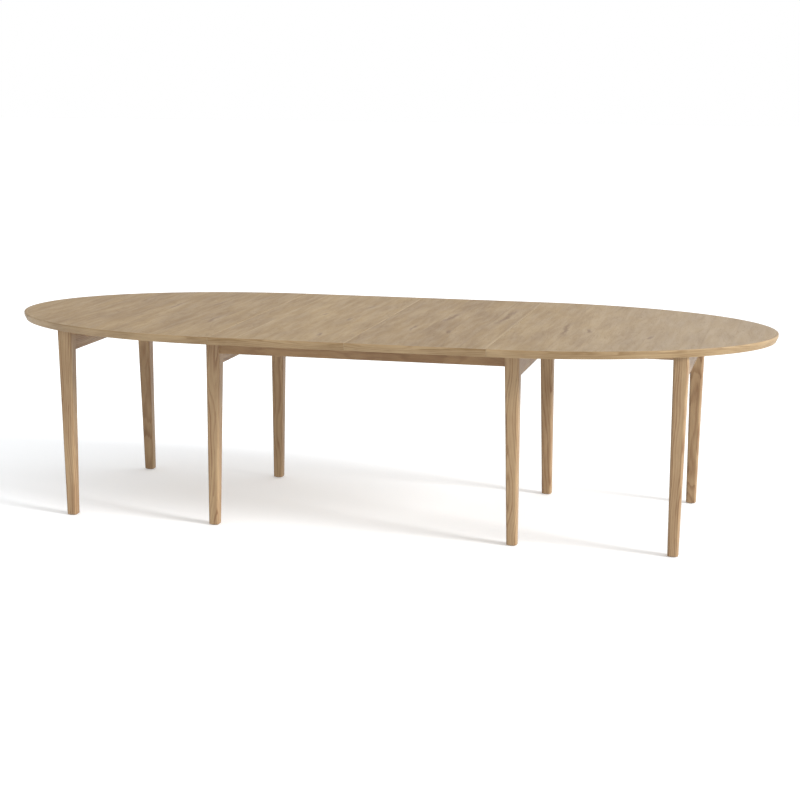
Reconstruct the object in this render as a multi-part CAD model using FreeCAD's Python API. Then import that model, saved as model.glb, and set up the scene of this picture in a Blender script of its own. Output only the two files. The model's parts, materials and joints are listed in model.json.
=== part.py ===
import FreeCAD, Part

import math
import os

from FreeCAD import Vector

# An extendable oak dining table, in millimetres, standing on z = 0 with its long side along X.
# The front is -Y, left is -X.  It is modelled open, with both leaves in.
#
# A fixed centre frame on four legs carries the guides.  Two end sections, each a half ellipse of
# table top on two legs of its own, run in and out along X on hardwood runners.  Two loose leaves
# lie between them.

LEFT = -1
RIGHT = 1
FRONT = -1
BACK = 1
SIDES = {"left": LEFT, "right": RIGHT}
FACES = {"front": FRONT, "back": BACK}

# Driving dimensions of the whole table
TABLE_HEIGHT = 740.0
HALF_LENGTH = 1450.0
HALF_WIDTH = 600.0
LEAF_LENGTH = 500.0
TOP_THICKNESS = 28.0
SEAM_GAP = 0.6
SLIDE_CLEARANCE = 0.3

# Table top
UNDERSIDE = TABLE_HEIGHT - TOP_THICKNESS
END_LENGTH = HALF_LENGTH - LEAF_LENGTH
LIPPING_WIDTH = 12.0
RIM_INSET = 8.0
RIM_BEVEL_HEIGHT = 17.0
RIM_ROUNDING = 2.5
EDGE_MARGIN = 1.0

# Legs: the face along the table's long side and the one towards the neighbouring leg of the same
# end stay upright, the other two taper
LEG_TOP = 54.0
LEG_FOOT = 38.0
LEG_ROUNDING = 9.0
LEG_OUTER_Y = 404.0
INNER_LEG_PLUMB_X = 580.0
OUTER_LEG_PLUMB_X = 1112.0
GLIDE_HEIGHT = 3.0
GLIDE_RADIUS = 15.0
GLIDE_STEM_RADIUS = 3.0
GLIDE_STEM_LENGTH = 14.0

# Rails of the centre frame and of the end sections
FRAME_TOP = UNDERSIDE - SLIDE_CLEARANCE
SIDE_RAIL_THICKNESS = 22.0
SIDE_RAIL_DEPTH = 65.0
SIDE_RAIL_SETBACK = 8.0
CROSS_RAIL_THICKNESS = 42.0
CROSS_RAIL_DEPTH = 106.0
END_RAIL_DEPTH = 83.0
TENON_THICKNESS = 10.0
TENON_LENGTH = 20.0
TENON_SHOULDER = 10.0
BEARER_THICKNESS = 24.0
BEARER_DEPTH = 62.0
BEARER_TENON = 6.0

# Runners and guides
RUNNER_WIDTH = 24.0
RUNNER_BOTTOM = 667.0
RUNNER_TOP = 709.0
RUNNER_INNER_END = 120.0
RUNNER_LAND_START = 520.0
RUNNER_NEAR_OFFSET = 215.0
RUNNER_FAR_OFFSET = 245.0
RUNNER_PASSAGE = 0.5
GROOVE_HEIGHT = 8.6
GROOVE_DEPTH = 8.0
GROOVE_END = 1060.0
TONGUE_HEIGHT = 8.0
TONGUE_REACH = 7.2
GUIDE_GAP = 0.4
GUIDE_WIDTH = 22.0
GUIDE_HEIGHT = 42.0
STOP_RADIUS = 5.0
STOP_LENGTH = 24.0

# Corner blocks and the battens under the leaves
BLOCK_REACH_X = 87.0
BLOCK_REACH_Y = 84.0
BLOCK_BOTTOM = 655.0
BLOCK_HEIGHT = 42.0
BATTEN_MIDDLE_Y = 322.0
BATTEN_WIDTH = 44.0
BATTEN_HEIGHT = 20.0
BATTEN_SEAM_DISTANCE = 62.0
BATTEN_END_BEVEL = 10.0

# Screws
SCREW_HEAD_RADIUS = 4.5
SCREW_HEAD_HEIGHT = 3.0
SCREW_RADIUS = 2.25
SCREW_LENGTH = 53.0
SCREW_BORE_RADIUS = 5.0
SCREW_HEAD_Z = 676.0
FRAME_SCREW_SINK = 18.0
RUNNER_SCREW_X = (640.0, 840.0, 1040.0)
END_RAIL_SCREW_Y = (-300.0, 0.0, 300.0)

# Dowels that line the tops up at the seams
DOWEL_RADIUS = 4.0
DOWEL_OUT = 12.0
DOWEL_IN = 20.0
DOWEL_CLEARANCE = 0.4
DOWEL_Y = (-520.0, -180.0, 180.0, 520.0)
DOWEL_Z = UNDERSIDE + TOP_THICKNESS / 2

# Swing locks under the seams
LOCK_Y = 490.0
LOCK_PIVOT_TO_SEAM = 30.0
LOCK_SEAM_TO_STUD = 22.0
LOCK_ARM = LOCK_PIVOT_TO_SEAM + LOCK_SEAM_TO_STUD
PLATE_THICKNESS = 2.0
PLATE_LENGTH = 36.0
PLATE_WIDTH = 34.0
KEEPER_LENGTH = 30.0
PLATE_ROUNDING = 4.0
PLATE_HOLE_RADIUS = 1.8
PLATE_HOLE_OFFSET = 12.0
HOOK_THICKNESS = 3.0
HOOK_GAP = 0.4
HOOK_EYE_RADIUS = 9.0
HOOK_ARM_WIDTH = 12.0
HOOK_HEAD_LENGTH = 24.0
HOOK_HEAD_LEADING = 8.0
HOOK_HEAD_TRAILING = 12.0
STUD_RADIUS = 3.0
STUD_HEAD_RADIUS = 5.5
STUD_HEAD_HEIGHT = 1.8
STUD_CLEARANCE = 0.6
HOOK_ROUNDING = 2.5
LOCK_SWING = 90.0
PLATE_Z = UNDERSIDE - PLATE_THICKNESS
HOOK_TOP = PLATE_Z - HOOK_GAP
HOOK_BOTTOM = HOOK_TOP - HOOK_THICKNESS
STUD_HEAD_TOP = HOOK_BOTTOM - HOOK_GAP

UP = Vector(0, 0, 1)


def box(x0, x1, y0, y1, z0, z1):
    """A box between two opposite corners, given in any order."""
    low = Vector(min(x0, x1), min(y0, y1), min(z0, z1))
    return Part.makeBox(abs(x1 - x0), abs(y1 - y0), abs(z1 - z0), low)


def cylinder(radius, x, y, z0, z1):
    """An upright cylinder from z0 to z1."""
    return Part.makeCylinder(radius, z1 - z0, Vector(x, y, z0), UP)


def group(shapes):
    """Several separate solids kept in one sub-part."""
    return Part.makeCompound(shapes)


def rounded_rectangle(x0, x1, y0, y1, z, radius):
    """A level closed wire with rounded corners."""
    x_low, x_high = sorted((x0, x1))
    y_low, y_high = sorted((y0, y1))
    centres = [
        (x_high - radius, y_high - radius),
        (x_low + radius, y_high - radius),
        (x_low + radius, y_low + radius),
        (x_high - radius, y_low + radius),
    ]
    quarter = math.pi / 2
    arcs = []
    for turn, (x, y) in enumerate(centres):
        circle = Part.Circle(Vector(x, y, z), UP, radius)
        arcs.append(Part.Arc(circle, turn * quarter, (turn + 1) * quarter))
    edges = []
    for arc, following in zip(arcs, arcs[1:] + arcs[:1]):
        edges.append(arc.toShape())
        edges.append(Part.LineSegment(arc.EndPoint, following.StartPoint).toShape())
    return Part.Wire(edges)


# ---------------------------------------------------------------- table top


def half_ellipse(side, inset, z):
    """A closed wire round one end of the top, drawn in by inset."""
    centre = Vector(side * LEAF_LENGTH, 0, z)
    curve = Part.Ellipse(centre, END_LENGTH - inset, HALF_WIDTH - inset)
    start = -math.pi / 2 if side == RIGHT else math.pi / 2
    arc = Part.ArcOfEllipse(curve, start, start + math.pi).toShape()
    first, last = (vertex.Point for vertex in (arc.Vertexes[0], arc.Vertexes[-1]))
    return Part.Wire([arc, Part.LineSegment(last, first).toShape()])


def prism(wire, height):
    return Part.Face(wire).extrude(UP * height)


def trim_at_seam(shape, seam, side):
    """Draw a top back from a seam on the side of it that the top lies on."""
    reach = SEAM_GAP / 2
    slot = box(seam, seam + side * reach, -HALF_WIDTH, HALF_WIDTH, 0, TABLE_HEIGHT)
    return shape.cut(slot)


def end_outline_solid(side):
    """The whole end of the top: bevelled under, upright above, with a softened upper edge."""
    bevel_top = UNDERSIDE + RIM_BEVEL_HEIGHT
    wires = [half_ellipse(side, RIM_INSET, UNDERSIDE), half_ellipse(side, 0, bevel_top)]
    lower = Part.makeLoft(wires, True, True)
    upper = prism(half_ellipse(side, 0, bevel_top), TABLE_HEIGHT - bevel_top)
    rim = [
        edge
        for edge in upper.Edges
        if edge.BoundBox.ZMin > TABLE_HEIGHT - EDGE_MARGIN and edge.BoundBox.XLength > END_LENGTH / 2
    ]
    upper = upper.makeFillet(RIM_ROUNDING, rim)
    return lower.fuse(upper).removeSplitter()


def end_panel(side):
    panel = prism(half_ellipse(side, LIPPING_WIDTH, UNDERSIDE), TOP_THICKNESS)
    return trim_at_seam(panel, side * LEAF_LENGTH, side)


def end_lipping(side):
    whole = end_outline_solid(side)
    core = prism(half_ellipse(side, LIPPING_WIDTH, UNDERSIDE), TOP_THICKNESS)
    return trim_at_seam(whole.cut(core), side * LEAF_LENGTH, side)


def leaf_span(side):
    """The low and high x of a leaf, clear of the seams beside it."""
    outer = side * (LEAF_LENGTH - SEAM_GAP / 2)
    inner = side * SEAM_GAP / 2
    return min(outer, inner), max(outer, inner)


def leaf_panel(side):
    x_low, x_high = leaf_span(side)
    half = HALF_WIDTH - LIPPING_WIDTH
    return box(x_low, x_high, -half, half, UNDERSIDE, TABLE_HEIGHT)


def leaf_lipping(side, face):
    """A straight lipping with the same section as the rim of the ends."""
    x_low, x_high = leaf_span(side)
    inner = HALF_WIDTH - LIPPING_WIDTH
    bevel_top = UNDERSIDE + RIM_BEVEL_HEIGHT
    profile = [
        (inner, UNDERSIDE),
        (HALF_WIDTH - RIM_INSET, UNDERSIDE),
        (HALF_WIDTH, bevel_top),
        (HALF_WIDTH, TABLE_HEIGHT),
        (inner, TABLE_HEIGHT),
        (inner, UNDERSIDE),
    ]
    wire = Part.makePolygon([Vector(x_low, face * y, z) for y, z in profile])
    solid = Part.Face(wire).extrude(Vector(x_high - x_low, 0, 0))
    edges = [
        edge
        for edge in solid.Edges
        if edge.BoundBox.ZMin > TABLE_HEIGHT - EDGE_MARGIN
        and abs(edge.CenterOfMass.y) > HALF_WIDTH - EDGE_MARGIN
    ]
    return solid.makeFillet(RIM_ROUNDING, edges)


def battens(side):
    """Two battens glued under a leaf, their ends bevelled."""
    x_low = BATTEN_SEAM_DISTANCE
    x_high = LEAF_LENGTH - BATTEN_SEAM_DISTANCE
    bottom = UNDERSIDE - BATTEN_HEIGHT
    profile = [
        (x_low, UNDERSIDE),
        (x_high, UNDERSIDE),
        (x_high - BATTEN_END_BEVEL, bottom),
        (x_low + BATTEN_END_BEVEL, bottom),
        (x_low, UNDERSIDE),
    ]
    solids = []
    for face in FACES.values():
        near = face * BATTEN_MIDDLE_Y - BATTEN_WIDTH / 2
        wire = Part.makePolygon([Vector(side * x, near, z) for x, z in profile])
        solids.append(Part.Face(wire).extrude(Vector(0, BATTEN_WIDTH, 0)))
    return group(solids)


def dowels(seam):
    """Dowels glued into the top right of a seam and standing out of it to the left."""
    start = seam + SEAM_GAP / 2 - DOWEL_OUT
    length = DOWEL_OUT + DOWEL_IN
    along = Vector(1, 0, 0)
    return [Part.makeCylinder(DOWEL_RADIUS, length, Vector(start, y, DOWEL_Z), along) for y in DOWEL_Y]


def dowel_sockets(seam):
    """The holes that the dowels enter, in the top left of a seam."""
    start = seam - SEAM_GAP / 2 - DOWEL_OUT
    radius = DOWEL_RADIUS + DOWEL_CLEARANCE
    along = Vector(1, 0, 0)
    return [Part.makeCylinder(radius, DOWEL_OUT, Vector(start, y, DOWEL_Z), along) for y in DOWEL_Y]


# ---------------------------------------------------------------- legs and rails


def leg(plumb_x, taper_towards, face):
    """A leg whose face at plumb_x and outer face stay upright; the other two taper."""
    y_out = face * LEG_OUTER_Y
    wires = []
    for width, z in ((LEG_FOOT, GLIDE_HEIGHT), (LEG_TOP, UNDERSIDE)):
        x_in = plumb_x + taper_towards * width
        y_in = y_out - face * width
        wires.append(rounded_rectangle(plumb_x, x_in, y_out, y_in, z, LEG_ROUNDING))
    return Part.makeLoft(wires, True, True)


def inner_leg(side, face):
    """A leg of the centre frame; its top stays clear of the table tops that slide over it."""
    whole = leg(side * INNER_LEG_PLUMB_X, -side, face)
    top = FRAME_TOP
    slice_above = box(-HALF_LENGTH, HALF_LENGTH, -HALF_WIDTH, HALF_WIDTH, top, TABLE_HEIGHT)
    return whole.cut(slice_above)


def outer_leg(side, face):
    return leg(side * OUTER_LEG_PLUMB_X, side, face)


def leg_middle(plumb_x, taper_towards):
    return plumb_x + taper_towards * LEG_TOP / 2


INNER_RAIL_X = leg_middle(INNER_LEG_PLUMB_X, -1)
OUTER_RAIL_X = leg_middle(OUTER_LEG_PLUMB_X, 1)
SIDE_RAIL_Y = LEG_OUTER_Y - SIDE_RAIL_SETBACK - SIDE_RAIL_THICKNESS / 2
LEG_INNER_Y = LEG_OUTER_Y - LEG_TOP
LEG_INNER_X = INNER_LEG_PLUMB_X - LEG_TOP


def rail_along_y(x, top, depth, legs):
    """A rail between a front and a back leg, fitted to their faces, with a tenon at each end."""
    half = CROSS_RAIL_THICKNESS / 2
    reach = LEG_INNER_Y + LEG_TOP / 2
    body = box(x - half, x + half, -reach, reach, top - depth, top)
    body = body.cut(group(legs))
    tenon_reach = LEG_INNER_Y + TENON_LENGTH
    thin = TENON_THICKNESS / 2
    low = top - depth + TENON_SHOULDER
    tenon = box(x - thin, x + thin, -tenon_reach, tenon_reach, low, top - TENON_SHOULDER)
    return main_solid(body).fuse(tenon).removeSplitter()


def side_rail(face, legs):
    """A long rail between the two inner legs of one face."""
    y = face * SIDE_RAIL_Y
    half = SIDE_RAIL_THICKNESS / 2
    reach = LEG_INNER_X + LEG_TOP / 2
    bottom = FRAME_TOP - SIDE_RAIL_DEPTH
    body = box(-reach, reach, y - half, y + half, bottom, FRAME_TOP)
    body = body.cut(group(legs))
    tenon_reach = LEG_INNER_X + TENON_LENGTH
    thin = TENON_THICKNESS / 2
    low = bottom + TENON_SHOULDER
    tenon = box(-tenon_reach, tenon_reach, y - thin, y + thin, low, FRAME_TOP - TENON_SHOULDER)
    return main_solid(body).fuse(tenon).removeSplitter()


def main_solid(shape):
    """The largest solid of a cut shape."""
    return max(shape.Solids, key=lambda solid: solid.Volume)


def centre_bearer():
    """The cross piece at mid length, under the seam between the leaves."""
    half = BEARER_THICKNESS / 2
    reach = SIDE_RAIL_Y - SIDE_RAIL_THICKNESS / 2
    bottom = FRAME_TOP - BEARER_DEPTH
    body = box(-half, half, -reach, reach, bottom, FRAME_TOP)
    thin = TENON_THICKNESS / 2
    stub = reach + BEARER_TENON
    low = FRAME_TOP - SIDE_RAIL_DEPTH + TENON_SHOULDER
    tenon = box(-thin, thin, -stub, stub, low, FRAME_TOP - TENON_SHOULDER)
    for face in FACES.values():
        near = face * (RUNNER_NEAR_OFFSET - RUNNER_WIDTH / 2 - RUNNER_PASSAGE)
        far = face * (RUNNER_FAR_OFFSET + RUNNER_WIDTH / 2 + RUNNER_PASSAGE)
        body = body.cut(box(-half, half, near, far, RUNNER_BOTTOM - RUNNER_PASSAGE, FRAME_TOP))
    side_tenons = tenon.cut(box(-half, half, -reach, reach, low, FRAME_TOP))
    return body.fuse(side_tenons.Solids).removeSplitter()


def cross_rail_notches(side):
    """The open notches in a cross rail that the runners of its own side pass through."""
    half = CROSS_RAIL_THICKNESS / 2
    x = side * INNER_RAIL_X
    notches = []
    for face in FACES.values():
        y = runner_y(side, face)
        wide = RUNNER_WIDTH / 2 + RUNNER_PASSAGE
        notches.append(
            box(x - half, x + half, y - wide, y + wide, RUNNER_BOTTOM - RUNNER_PASSAGE, FRAME_TOP)
        )
    return notches


def corner_blocks(legs):
    """Glue blocks in the four corners of the centre frame."""
    x_rail = INNER_RAIL_X - CROSS_RAIL_THICKNESS / 2
    y_rail = SIDE_RAIL_Y - SIDE_RAIL_THICKNESS / 2
    blocks = []
    for side in SIDES.values():
        for face in FACES.values():
            corners = [
                Vector(side * x_rail, face * y_rail, BLOCK_BOTTOM),
                Vector(side * (x_rail - BLOCK_REACH_X), face * y_rail, BLOCK_BOTTOM),
                Vector(side * x_rail, face * (y_rail - BLOCK_REACH_Y), BLOCK_BOTTOM),
            ]
            wire = Part.makePolygon(corners + corners[:1])
            block = prism(wire, BLOCK_HEIGHT)
            blocks.append(main_solid(block.cut(group(legs))))
    return blocks


# ---------------------------------------------------------------- runners and guides


def is_far(side, face):
    """Whether a runner is the one further from the middle of the table."""
    return side * face > 0


def runner_y(side, face):
    return face * (RUNNER_FAR_OFFSET if is_far(side, face) else RUNNER_NEAR_OFFSET)


def guided_face(side, face):
    """The y of the runner's grooved face, and the way that it looks."""
    outward = face if is_far(side, face) else -face
    return runner_y(side, face) + outward * RUNNER_WIDTH / 2, outward


def runner(side, face):
    """A grooved hardwood bar, screwed under an end top and running through the centre frame."""
    y = runner_y(side, face)
    half = RUNNER_WIDTH / 2
    inner = side * RUNNER_INNER_END
    outer = side * (OUTER_RAIL_X - CROSS_RAIL_THICKNESS / 2)
    bar = box(inner, outer, y - half, y + half, RUNNER_BOTTOM, RUNNER_TOP)
    land = box(side * RUNNER_LAND_START, outer, y - half, y + half, RUNNER_TOP, UNDERSIDE)
    grooved, outward = guided_face(side, face)
    middle = (RUNNER_BOTTOM + RUNNER_TOP) / 2
    groove = box(
        inner,
        side * GROOVE_END,
        grooved,
        grooved - outward * GROOVE_DEPTH,
        middle - GROOVE_HEIGHT / 2,
        middle + GROOVE_HEIGHT / 2,
    )
    return bar.fuse(land).removeSplitter().cut(groove)


def guide(side, face):
    """A guide between a cross rail and the bearer, with a tongue that the runner slides on."""
    grooved, outward = guided_face(side, face)
    near = grooved + outward * GUIDE_GAP
    inner = side * BEARER_THICKNESS / 2
    outer = side * (INNER_RAIL_X - CROSS_RAIL_THICKNESS / 2)
    middle = (RUNNER_BOTTOM + RUNNER_TOP) / 2
    low = middle - GUIDE_HEIGHT / 2
    high = middle + GUIDE_HEIGHT / 2
    bar = box(inner, outer, near, near + outward * GUIDE_WIDTH, low, high)
    tongue = box(
        inner,
        outer,
        near,
        grooved - outward * TONGUE_REACH,
        middle - TONGUE_HEIGHT / 2,
        middle + TONGUE_HEIGHT / 2,
    )
    return bar.fuse(tongue).removeSplitter()


def runner_stops(side):
    """Pins under the runners that meet the cross rail when an end is drawn right out."""
    rail_face = INNER_RAIL_X - CROSS_RAIL_THICKNESS / 2
    x = side * (rail_face - SLIDE_CLEARANCE - STOP_RADIUS)
    low = RUNNER_BOTTOM - STOP_LENGTH / 2
    return [
        cylinder(STOP_RADIUS, x, runner_y(side, face), low, low + STOP_LENGTH)
        for face in FACES.values()
    ]


# ---------------------------------------------------------------- screws and glides


def screw(start, direction):
    """A screw whose head starts at a point and whose shank runs on in a direction."""
    head = Part.makeCylinder(SCREW_HEAD_RADIUS, SCREW_HEAD_HEIGHT, start, direction)
    shank = Part.makeCylinder(SCREW_RADIUS, SCREW_LENGTH, start, direction)
    return head.fuse(shank).removeSplitter()


def end_screw_places(side):
    """Where screws go up into an end top, through the runners and the end rail."""
    places = []
    for face in FACES.values():
        for x in RUNNER_SCREW_X:
            places.append((side * x, runner_y(side, face), RUNNER_BOTTOM))
    for y in END_RAIL_SCREW_Y:
        places.append((side * OUTER_RAIL_X, y, UNDERSIDE - END_RAIL_DEPTH))
    return places


def end_screws(side):
    return [screw(Vector(x, y, SCREW_HEAD_Z), UP) for x, y, low in end_screw_places(side)]


def end_screw_bores(side):
    """The wide bores that the screw heads are driven up."""
    return [
        cylinder(SCREW_BORE_RADIUS, x, y, low, SCREW_HEAD_Z)
        for x, y, low in end_screw_places(side)
    ]


def frame_screws():
    """Screws along X into both ends of each guide."""
    screws = []
    z = (RUNNER_BOTTOM + RUNNER_TOP) / 2
    for side in SIDES.values():
        for face in FACES.values():
            grooved, outward = guided_face(side, face)
            y = grooved + outward * (GUIDE_GAP + GUIDE_WIDTH / 2)
            sunk = side * (INNER_RAIL_X + CROSS_RAIL_THICKNESS / 2 - FRAME_SCREW_SINK)
            far_side = -side * BEARER_THICKNESS / 2
            screws.append(screw(Vector(sunk, y, z), Vector(-side, 0, 0)))
            screws.append(screw(Vector(far_side, y, z), Vector(side, 0, 0)))
    return screws


def frame_screw_bores(side):
    """The wide bores that the screw heads are driven down in a cross rail."""
    z = (RUNNER_BOTTOM + RUNNER_TOP) / 2
    outer = side * (INNER_RAIL_X + CROSS_RAIL_THICKNESS / 2)
    bores = []
    for face in FACES.values():
        grooved, outward = guided_face(side, face)
        y = grooved + outward * (GUIDE_GAP + GUIDE_WIDTH / 2)
        start = Vector(outer, y, z)
        bores.append(
            Part.makeCylinder(SCREW_BORE_RADIUS, FRAME_SCREW_SINK, start, Vector(-side, 0, 0))
        )
    return bores


def glide(plumb_x, taper_towards, face):
    """A nylon glide under a foot, with a stem driven into the leg."""
    x = plumb_x + taper_towards * LEG_FOOT / 2
    y = face * (LEG_OUTER_Y - LEG_FOOT / 2)
    pad = cylinder(GLIDE_RADIUS, x, y, 0, GLIDE_HEIGHT)
    stem = cylinder(GLIDE_STEM_RADIUS, x, y, 0, GLIDE_HEIGHT + GLIDE_STEM_LENGTH)
    return pad.fuse(stem).removeSplitter()


# ---------------------------------------------------------------- swing locks


def lock_base(x, y, length, plate_z):
    """A screwed-on base plate with rounded corners and two screw holes."""
    half_length = length / 2
    half_width = PLATE_WIDTH / 2
    outline = rounded_rectangle(
        x - half_length, x + half_length, y - half_width, y + half_width, plate_z, PLATE_ROUNDING
    )
    plate = prism(outline, PLATE_THICKNESS)
    for step in (-PLATE_HOLE_OFFSET, PLATE_HOLE_OFFSET):
        plate = plate.cut(cylinder(PLATE_HOLE_RADIUS, x, y + step, plate_z, UNDERSIDE))
    return plate


def lock_plate(x, y, length):
    """A base plate with a headed stud: the pivot of a hook, or the stud that it catches."""
    plate = lock_base(x, y, length, PLATE_Z)
    stud = cylinder(STUD_RADIUS, x, y, STUD_HEAD_TOP - STUD_HEAD_HEIGHT, PLATE_Z)
    head = cylinder(STUD_HEAD_RADIUS, x, y, STUD_HEAD_TOP - STUD_HEAD_HEIGHT, STUD_HEAD_TOP)
    return plate.fuse([stud, head]).removeSplitter()


def lock_plates(seam):
    x = seam - LOCK_PIVOT_TO_SEAM
    return [lock_plate(x, face * LOCK_Y, PLATE_LENGTH) for face in FACES.values()]


def lock_keepers(seam):
    x = seam + LOCK_SEAM_TO_STUD
    return [lock_plate(x, face * LOCK_Y, KEEPER_LENGTH) for face in FACES.values()]


def lock_hook(seam, face):
    """A hook that swings about its pivot, shown turned in towards the middle of the table."""
    top = HOOK_TOP
    bottom = HOOK_BOTTOM
    half = HOOK_ARM_WIDTH / 2
    head_start = LOCK_ARM - HOOK_HEAD_LENGTH / 2
    head_end = LOCK_ARM + HOOK_HEAD_LENGTH / 2
    arm = box(0, head_start + HOOK_ROUNDING, -half, half, bottom, top)
    head_outline = rounded_rectangle(
        head_start, head_end, -HOOK_HEAD_LEADING, HOOK_HEAD_TRAILING, bottom, HOOK_ROUNDING
    )
    eye = cylinder(HOOK_EYE_RADIUS, 0, 0, bottom, top)
    body = arm.fuse([prism(head_outline, HOOK_THICKNESS), eye]).removeSplitter()
    play = STUD_RADIUS + STUD_CLEARANCE
    track = cylinder(LOCK_ARM + play, 0, 0, bottom, top)
    track = track.cut(cylinder(LOCK_ARM - play, 0, 0, bottom, top))
    track = track.common(box(0, LOCK_ARM + play, 0, -LOCK_ARM, bottom, top))
    body = body.cut([track, cylinder(play, LOCK_ARM, 0, bottom, top)])
    body = body.cut(cylinder(STUD_RADIUS + HOOK_GAP, 0, 0, bottom, top))
    if face == BACK:
        body = body.mirror(Vector(0, 0, 0), Vector(0, 1, 0))
    body.rotate(Vector(0, 0, 0), UP, -face * LOCK_SWING)
    body.translate(Vector(seam - LOCK_PIVOT_TO_SEAM, face * LOCK_Y, 0))
    return body


# ---------------------------------------------------------------- the table


def cut_all(shape, tools):
    return shape.cut(group(tools)) if tools else shape


def centre_frame():
    parts = {}
    legs = {}
    glides = []
    for side_name, side in SIDES.items():
        for face_name, face in FACES.items():
            legs[f"{face_name}_{side_name}_inner_leg"] = inner_leg(side, face)
            glides.append(glide(side * INNER_LEG_PLUMB_X, -side, face))
    solid_legs = list(legs.values())
    screws = frame_screws()
    for face_name, face in FACES.items():
        rail = side_rail(face, solid_legs)
        parts[f"{face_name}_side_rail"] = rail.cut(centre_bearer())
    for side_name, side in SIDES.items():
        rail = rail_along_y(side * INNER_RAIL_X, FRAME_TOP, CROSS_RAIL_DEPTH, solid_legs)
        rail = cut_all(rail, cross_rail_notches(side) + screws + frame_screw_bores(side))
        parts[f"{side_name}_cross_rail"] = trimmed_tenons(rail, parts)
        for face_name, face in FACES.items():
            parts[f"{face_name}_{side_name}_guide"] = cut_all(guide(side, face), screws)
    rails = [part for name, part in parts.items() if name.endswith("rail")]
    for name, shape in legs.items():
        parts[name] = cut_all(shape, rails + glides)
    parts["centre_bearer"] = cut_all(centre_bearer(), screws)
    parts["corner_blocks"] = group(corner_blocks(solid_legs))
    parts["centre_glides"] = group(glides)
    parts["frame_screws"] = group(screws)
    return parts


def trimmed_tenons(cross_rail, parts):
    """A cross rail whose tenons stop where the side rails' tenons lie."""
    side_rails = [part for name, part in parts.items() if name.endswith("side_rail")]
    return main_solid(cut_all(cross_rail, side_rails))


def end_section(side_name, side):
    seam = side * LEAF_LENGTH
    parts = {}
    legs = {}
    glides = []
    for face_name, face in FACES.items():
        legs[f"{face_name}_{side_name}_outer_leg"] = outer_leg(side, face)
        glides.append(glide(side * OUTER_LEG_PLUMB_X, side, face))
    screws = end_screws(side)
    bores = end_screw_bores(side)
    rail = rail_along_y(side * OUTER_RAIL_X, UNDERSIDE, END_RAIL_DEPTH, list(legs.values()))
    rail = cut_all(rail, screws + bores)
    parts[f"{side_name}_end_rail"] = rail
    for name, shape in legs.items():
        parts[name] = cut_all(shape, [rail] + glides)
    stops = runner_stops(side)
    for face_name, face in FACES.items():
        parts[f"{face_name}_{side_name}_runner"] = cut_all(runner(side, face), screws + bores + stops)
    seam_cuts = dowels(seam) if side == RIGHT else dowel_sockets(seam)
    parts[f"{side_name}_end_top"] = cut_all(end_panel(side), screws + seam_cuts)
    parts[f"{side_name}_end_lipping"] = end_lipping(side)
    parts[f"{side_name}_glides"] = group(glides)
    parts[f"{side_name}_runner_stops"] = group(stops)
    parts[f"{side_name}_end_screws"] = group(screws)
    if side == RIGHT:
        parts["right_end_dowels"] = group(dowels(seam))
        parts["right_end_keepers"] = group(lock_keepers(seam))
    else:
        parts["left_end_lock_plates"] = group(lock_plates(seam))
        for face_name, face in FACES.items():
            parts[f"{face_name}_left_hook"] = lock_hook(seam, face)
    return parts


def leaf(side_name, side):
    left_seam = -LEAF_LENGTH if side == LEFT else 0
    right_seam = left_seam + LEAF_LENGTH
    hook_place = "middle" if side == LEFT else "right"
    pins = dowels(left_seam)
    parts = {}
    parts[f"{side_name}_leaf"] = cut_all(leaf_panel(side), pins + dowel_sockets(right_seam))
    for face_name, face in FACES.items():
        parts[f"{side_name}_leaf_{face_name}_lipping"] = leaf_lipping(side, face)
        parts[f"{face_name}_{hook_place}_hook"] = lock_hook(right_seam, face)
    parts[f"{side_name}_leaf_battens"] = battens(side)
    parts[f"{side_name}_leaf_dowels"] = group(pins)
    parts[f"{side_name}_leaf_keepers"] = group(lock_keepers(left_seam))
    parts[f"{side_name}_leaf_lock_plates"] = group(lock_plates(right_seam))
    return parts


def main():
    os.makedirs("parts", exist_ok=True)
    parts = centre_frame()
    for side_name, side in SIDES.items():
        parts.update(end_section(side_name, side))
        parts.update(leaf(side_name, side))
    for name, shape in sorted(parts.items()):
        shape.exportStep(f"parts/{name}.step")
        solids = len(shape.Solids)
        print(name, solids, "solid(s)", round(shape.Volume / 1000, 1), "cm3", shape.isValid())
    print(len(parts), "sub-parts")


main()
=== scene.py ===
import json
import math

import bmesh
import bpy
from mathutils import Matrix, Vector

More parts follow.
